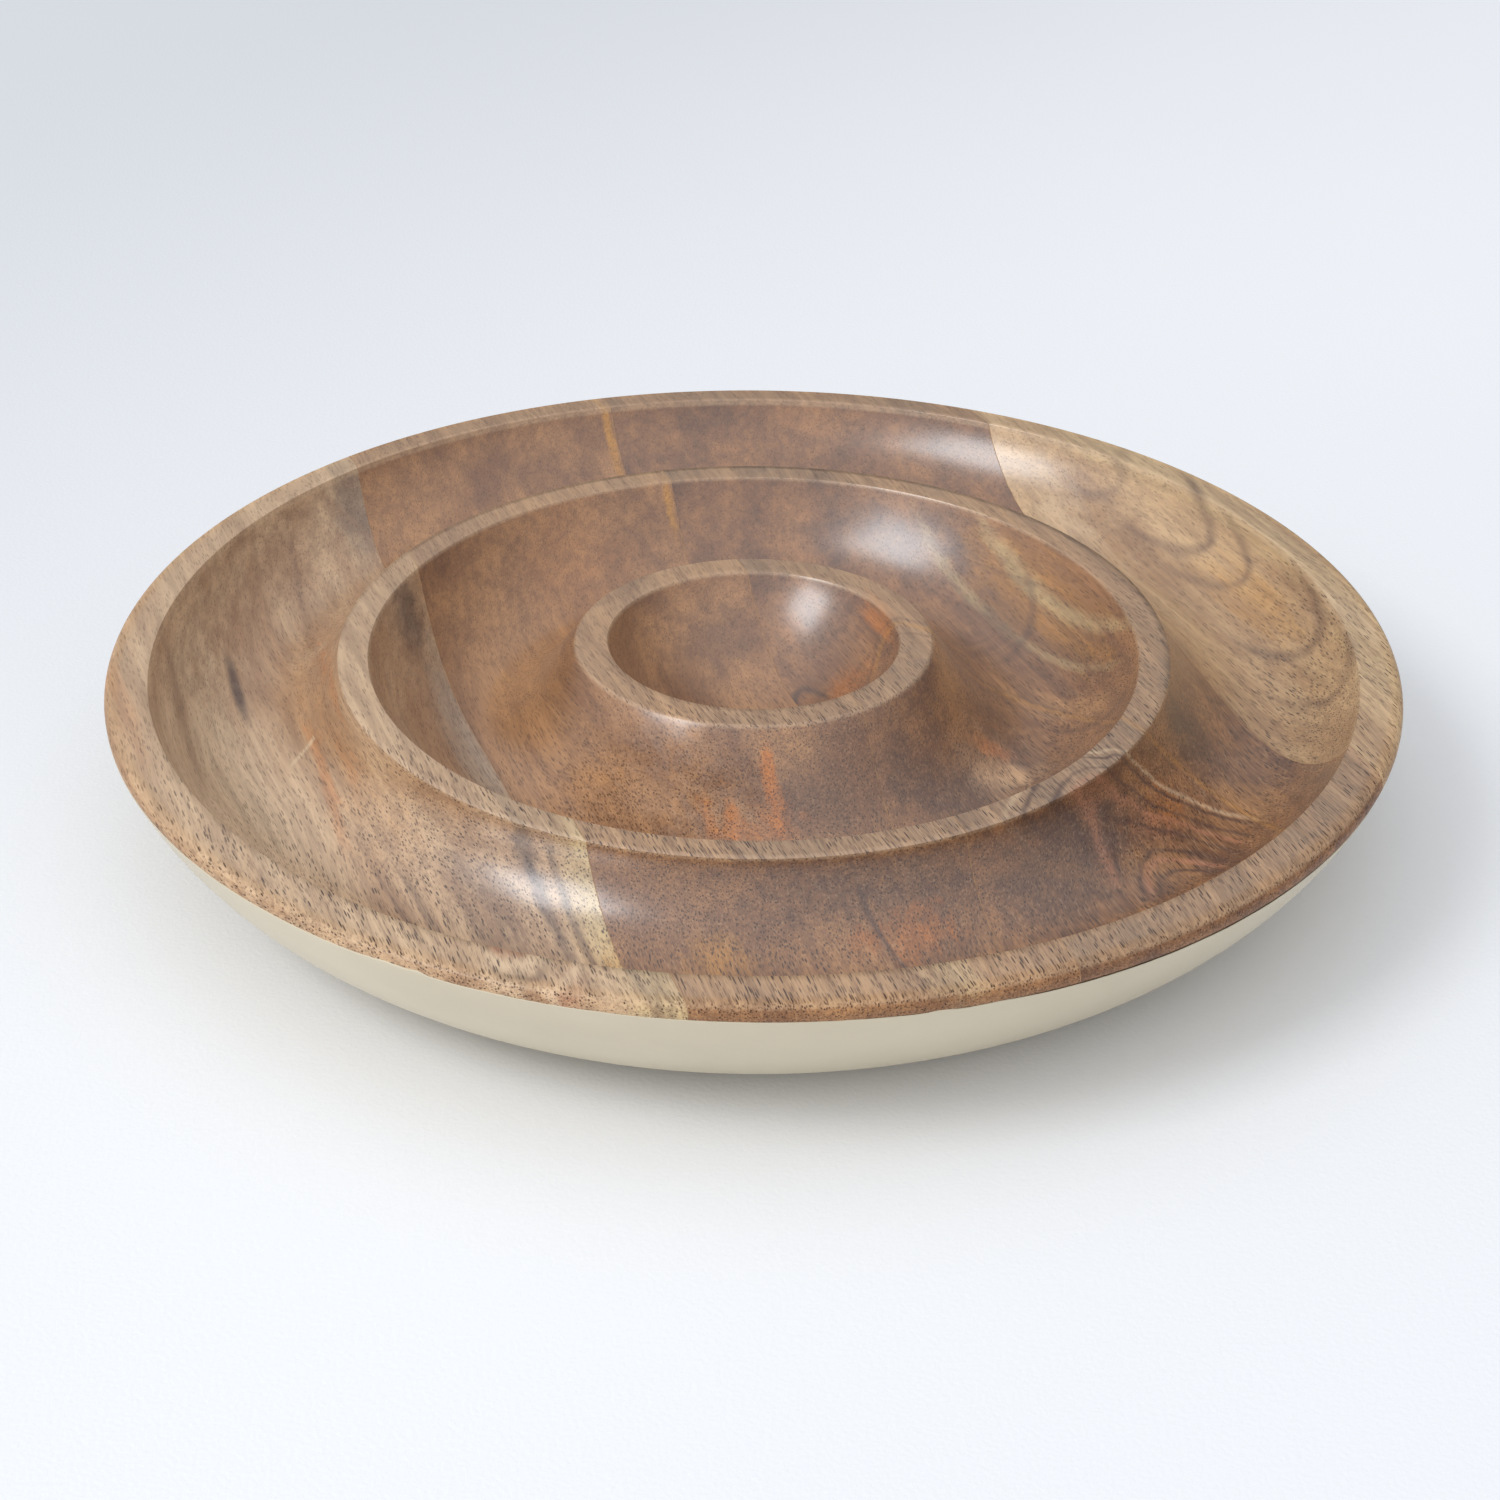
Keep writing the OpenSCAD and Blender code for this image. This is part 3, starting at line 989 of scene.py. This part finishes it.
def wood_finish(name, look, figure, patch, vein):
    """Lacquered mango wood of one board."""
    material, m, shader = new_finish(name + "_wood")
    place = board_place(m)
    pale, deep, dark = look["colours"]
    values = {
        "Place": place,
        "Shift": look["shift"],
        "Pith Across": look["pith"][0],
        "Pith Height": look["pith"][1],
        "Pith Lean": look["pith"][2],
        "Ring Width": look["ring_width"],
        "Pore Share": look["pores"],
    }
    shown = m.group(figure, values)
    _, along, height = m.split(place)
    # The grain is open at the near end of the boards, and filled towards the far end
    coarse = 0.35 + (1 - along.smooth(-70.0, 30.0)) * 0.65
    sanded_and_lit = height.smooth(*SANDED_AND_LIT_Z)
    colour = m.mix(shown["Tone"], pale, deep)
    # Most patches are the wood's own colour; a few are painted shade, each marked where it is listed
    for tint, strength, centre, size, ragged, slant in look["patches"]:
        values = {"Place": place, "Centre": centre, "Size": size, "Ragged": ragged, "Slant": slant}
        colour = m.mix(m.group(patch, values)["Mask"] * strength, colour, tint)
    colour = m.mix(shown["Rings"] * RING_SHARE, colour, deep)
    # Pale ripple bands across the grain: the wood's figure, with its shimmer painted in as sheen
    colour = m.mix(shown["Ripple Sheen"] * look["ripple_sheen"], colour, pale)
    # Ring and rim tops mixed paler: partly the sanding, partly painted light on the faces that look up
    colour = m.mix(sanded_and_lit * SANDED_AND_LIT_SHARE, colour, PALE)
    colour = m.mix(shown["Streak"] * STREAK_SHARE, colour, dark)
    for tint, strength, peak, peak_along, slope, bend, half_length, half_width in look["veins"]:
        values = {
            "Place": place,
            "Across": peak,
            "Along": peak_along,
            "Slope": slope,
            "Bend": bend,
            "Half Length": half_length,
            "Half Width": half_width,
        }
        colour = m.mix(m.group(vein, values)["Mask"] * strength, colour, tint)
    dark_fibre = shown["Fibre"].smooth(0.45, 0.72)
    colour = m.mix(dark_fibre * coarse * DARK_FIBRE_SHARE, colour, dark)
    pale_fibre = 1 - shown["Fibre"].smooth(0.28, 0.5)
    colour = m.mix(pale_fibre * coarse * PALE_FIBRE_SHARE, colour, PALE)
    colour = m.mix(shown["Pores"] * coarse * PORE_SHARE, colour, PORE)
    m.join(colour, shader.inputs["Base Color"])
    dull_across, dull_along = look["dull"]
    values = {
        "Place": place,
        "Centre": (dull_across, dull_along, DULL_Z),
        "Size": DULL_SIZE,
        "Ragged": 0.4,
    }
    dull = m.group(patch, values)["Mask"]
    radius = m.vector_math("LENGTH", m.vector_math("MULTIPLY", place, (1.0, 1.0, 0.0)))
    rubbed = radius.smooth(*RUBBED_R)
    m.join((1 - dull * 0.9) * (1 - rubbed * 0.85), shader.inputs["Coat Weight"])
    matt = (dull * 0.25).math("MAXIMUM", rubbed * 0.2) + sanded_and_lit * 0.1
    m.join(0.42 + shown["Pores"] * 0.3 + matt, shader.inputs["Roughness"])
    shader.inputs["Coat Roughness"].default_value = 0.24
    shader.inputs["Coat IOR"].default_value = 1.7
    tooling = m.noise(m.vector(radius, 0.0, 0.0), (0.9, 1.0, 1.0), detail=3.0)
    relief = shown["Fibre"] * 0.3 - shown["Pores"] + tooling * 0.5
    bumped(m, shader, relief, WOOD_RELIEF * MM)
    return material


def glue_finish():
    """Hardened glue in a joint, stained by the lacquer."""
    material, m, shader = new_finish("amber_glue")
    place = board_place(m)
    mottle = m.noise(place, (1.0, 0.12, 0.5), detail=3.0)
    colour = m.mix(mottle.smooth(0.3, 0.7), rgb(128, 92, 62), rgb(176, 138, 96))
    m.join(colour, shader.inputs["Base Color"])
    m.join(0.4 + mottle * 0.2, shader.inputs["Roughness"])
    bumped(m, shader, mottle, GLUE_RELIEF * MM)
    return material


def enamel_finish():
    """Sprayed cream enamel: a faint orange peel, dust nibs and slight shifts of tone."""
    material, m, shader = new_finish("cream_enamel")
    place = board_place(m)
    cloud = m.noise(place, (0.02, 0.02, 0.04), detail=3.0)
    peel = m.noise(place, (0.55, 0.55, 0.55), detail=2.0)
    nibs = m.node("ShaderNodeTexVoronoi", {"Vector": place, "Scale": 0.11})
    nib = 1 - Number(m, nibs.outputs["Distance"]).smooth(0.012, 0.035)
    colour = m.mix(cloud.smooth(0.3, 0.7), rgb(206, 194, 168), rgb(199, 187, 162))
    colour = m.mix(nib * 0.35, colour, rgb(176, 166, 146))
    m.join(colour, shader.inputs["Base Color"])
    m.join(0.36 + cloud * 0.1, shader.inputs["Roughness"])
    shader.inputs["Coat Weight"].default_value = 0.3
    shader.inputs["Coat Roughness"].default_value = 0.25
    bumped(m, shader, peel + nib * 2, ENAMEL_RELIEF * MM)
    return material


# ---------------------------------------------------------------- the platter


def build_platter():
    """Makes each board, glue line and the enamel, and ties it to the frame."""
    figure = figure_group()
    patch = patch_group()
    vein = vein_group()
    glue = glue_finish()
    enamel = enamel_finish()
    tree = board_tree(glue)
    half_glue = GLUE_T / 2
    past_edge = OUTER_R + 5
    spans = {
        "left_board": (-past_edge, JOINTS["left"] - half_glue),
        "middle_left_board": (JOINTS["left"] + half_glue, JOINTS["middle"] - half_glue),
        "middle_right_board": (JOINTS["middle"] + half_glue, JOINTS["right"] - half_glue),
        "right_board": (JOINTS["right"] + half_glue, past_edge),
    }
    for node, (start, end) in spans.items():
        wood = wood_finish(node, LOOKS[node], figure, patch, vein)
        values = {"From Joint": start * MM, "To Joint": end * MM, "Finish": wood}
        board = solid_from("turned_" + node, tree, values)
        tie(board, node + "_wood", node)
    for side, joint in JOINTS.items():
        values = {"From Joint": (joint - half_glue) * MM, "To Joint": (joint + half_glue) * MM}
        line = solid_from("turned_" + side + "_glue_line", tree, values)
        tie(line, "wood_glue", side + "_glue_line")
    coat = solid_from("enamel_coat", enamel_tree(enamel))
    tie(coat, "cream_enamel", "enamel_base", "enamel_belly")


def tie(piece, slot, *nodes):
    """The piece rides on the root body and stands for its CAD nodes; its slot is not used."""
    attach(piece, "root")
    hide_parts(*nodes)


# ---------------------------------------------------------------- stage, light and camera


def build_floor():
    """A wide sheet of pale paper, with painted shade that darkens it towards the back left."""
    mesh = bpy.data.meshes.new("paper")
    half = 4.0
    corners = [(-half, -half, 0.0), (half, -half, 0.0), (half, half, 0.0), (-half, half, 0.0)]
    mesh.from_pydata(corners, [], [(0, 1, 2, 3)])
    floor = bpy.data.objects.new("paper", mesh)
    bpy.context.scene.collection.objects.link(floor)
    material, m, shader = new_finish("pale_paper")
    place = m.node("ShaderNodeTexCoord").outputs["Object"]
    tooth = m.noise(place, (900.0, 900.0, 900.0), detail=4.0)
    broad = m.noise(place, (4.0, 4.0, 4.0), detail=1.0)
    x, y, _ = m.split(place)
    # Painted shade: the paper is darkened towards the back left, where less light falls
    far_left_shade = (y * 0.5 - x * 0.85).smooth(-0.05, 0.55)
    colour = m.mix(broad, rgb(242, 243, 245), rgb(239, 240, 242))
    m.join(m.mix(far_left_shade, colour, rgb(216, 218, 221)), shader.inputs["Base Color"])
    shader.inputs["Roughness"].default_value = 0.85
    bumped(m, shader, tooth, 0.1 * MM)
    mesh.materials.append(material)


def area_light(name, bearing, elevation, distance, size, power, colour):
    """A soft rectangular light that faces the platter from a bearing and an elevation."""
    light = bpy.data.lights.new(name, "AREA")
    light.shape = "RECTANGLE"
    light.size, light.size_y = size
    light.energy = power
    light.color = colour
    lamp = bpy.data.objects.new(name, light)
    bpy.context.scene.collection.objects.link(lamp)
    flat = math.cos(math.radians(elevation))
    away = Vector(
        (
            math.cos(math.radians(bearing)) * flat,
            math.sin(math.radians(bearing)) * flat,
            math.sin(math.radians(elevation)),
        )
    )
    lamp.location = away * distance
    lamp.rotation_euler = away.to_track_quat("Z", "Y").to_euler()


# Direction from which the pale walls and ceiling send the most light, and their colour
ROOM_BRIGHT_SIDE = (-0.2, -0.42, 0.885)
ROOM_COLOUR = (0.935, 0.96, 1.0, 1.0)


def build_lights():
    """A window to the front left, and pale walls all round."""
    area_light(
        "window",
        bearing=-148.0,
        elevation=46.0,
        distance=3.2,
        size=(1.25, 1.15),
        power=32.0,
        colour=(0.96, 0.98, 1.0),
    )
    area_light(
        "low_window",
        bearing=-140.0,
        elevation=9.0,
        distance=3.0,
        size=(2.2, 0.7),
        power=7.0,
        colour=(1.0, 1.0, 1.0),
    )
    world = bpy.data.worlds.new("pale_room")
    world.use_nodes = True
    m = Maker(world.node_tree)
    background = world.node_tree.nodes["Background"]
    background.inputs["Color"].default_value = ROOM_COLOUR
    toward = m.node("ShaderNodeTexCoord").outputs["Generated"]
    facing = m.vector_math("DOT_PRODUCT", toward, ROOM_BRIGHT_SIDE)
    m.join(0.15 + facing.smooth(-0.4, 1.0) * 0.96, background.inputs["Strength"])
    bpy.context.scene.world = world
    bpy.context.scene.view_settings.view_transform = "Standard"


# Distance of the camera from the middle of the ring tops, in outer radii, and its focal length
# in millimetres
CAMERA_DISTANCE = 4.36
CAMERA_LENS = 66.74
CAMERA_SENSOR = 36.0
# Its height angle, how far it aims below and beside the middle, and its roll, in degrees
CAMERA_ELEVATION = 27.85
CAMERA_BELOW = 2.323
CAMERA_ASIDE = 0.076
CAMERA_ROLL = 0.36


def build_camera():
    """Looks down on the middle of the ring tops, which lie a little above the picture's middle."""
    distance = CAMERA_DISTANCE * OUTER_R * MM
    elevation = math.radians(CAMERA_ELEVATION)
    below = math.radians(CAMERA_BELOW)
    aside = math.radians(CAMERA_ASIDE)
    roll = math.radians(CAMERA_ROLL)
    camera = bpy.data.cameras.new("camera")
    camera.lens = CAMERA_LENS
    camera.sensor_width = CAMERA_SENSOR
    camera.clip_start = 0.01
    camera.clip_end = 20.0
    stand = bpy.data.objects.new("camera", camera)
    bpy.context.scene.collection.objects.link(stand)
    place = Vector((0.0, -math.cos(elevation), math.sin(elevation))) * distance
    place.z += RING_Z * MM
    turn = Matrix.Rotation(aside, 4, "Z")
    tilt = Matrix.Rotation(math.pi / 2 - elevation - below, 4, "X")
    stand.matrix_world = Matrix.Translation(place) @ turn @ tilt @ Matrix.Rotation(roll, 4, "Z")
    bpy.context.scene.camera = stand


build_camera()
build_platter()
build_floor()
build_lights()
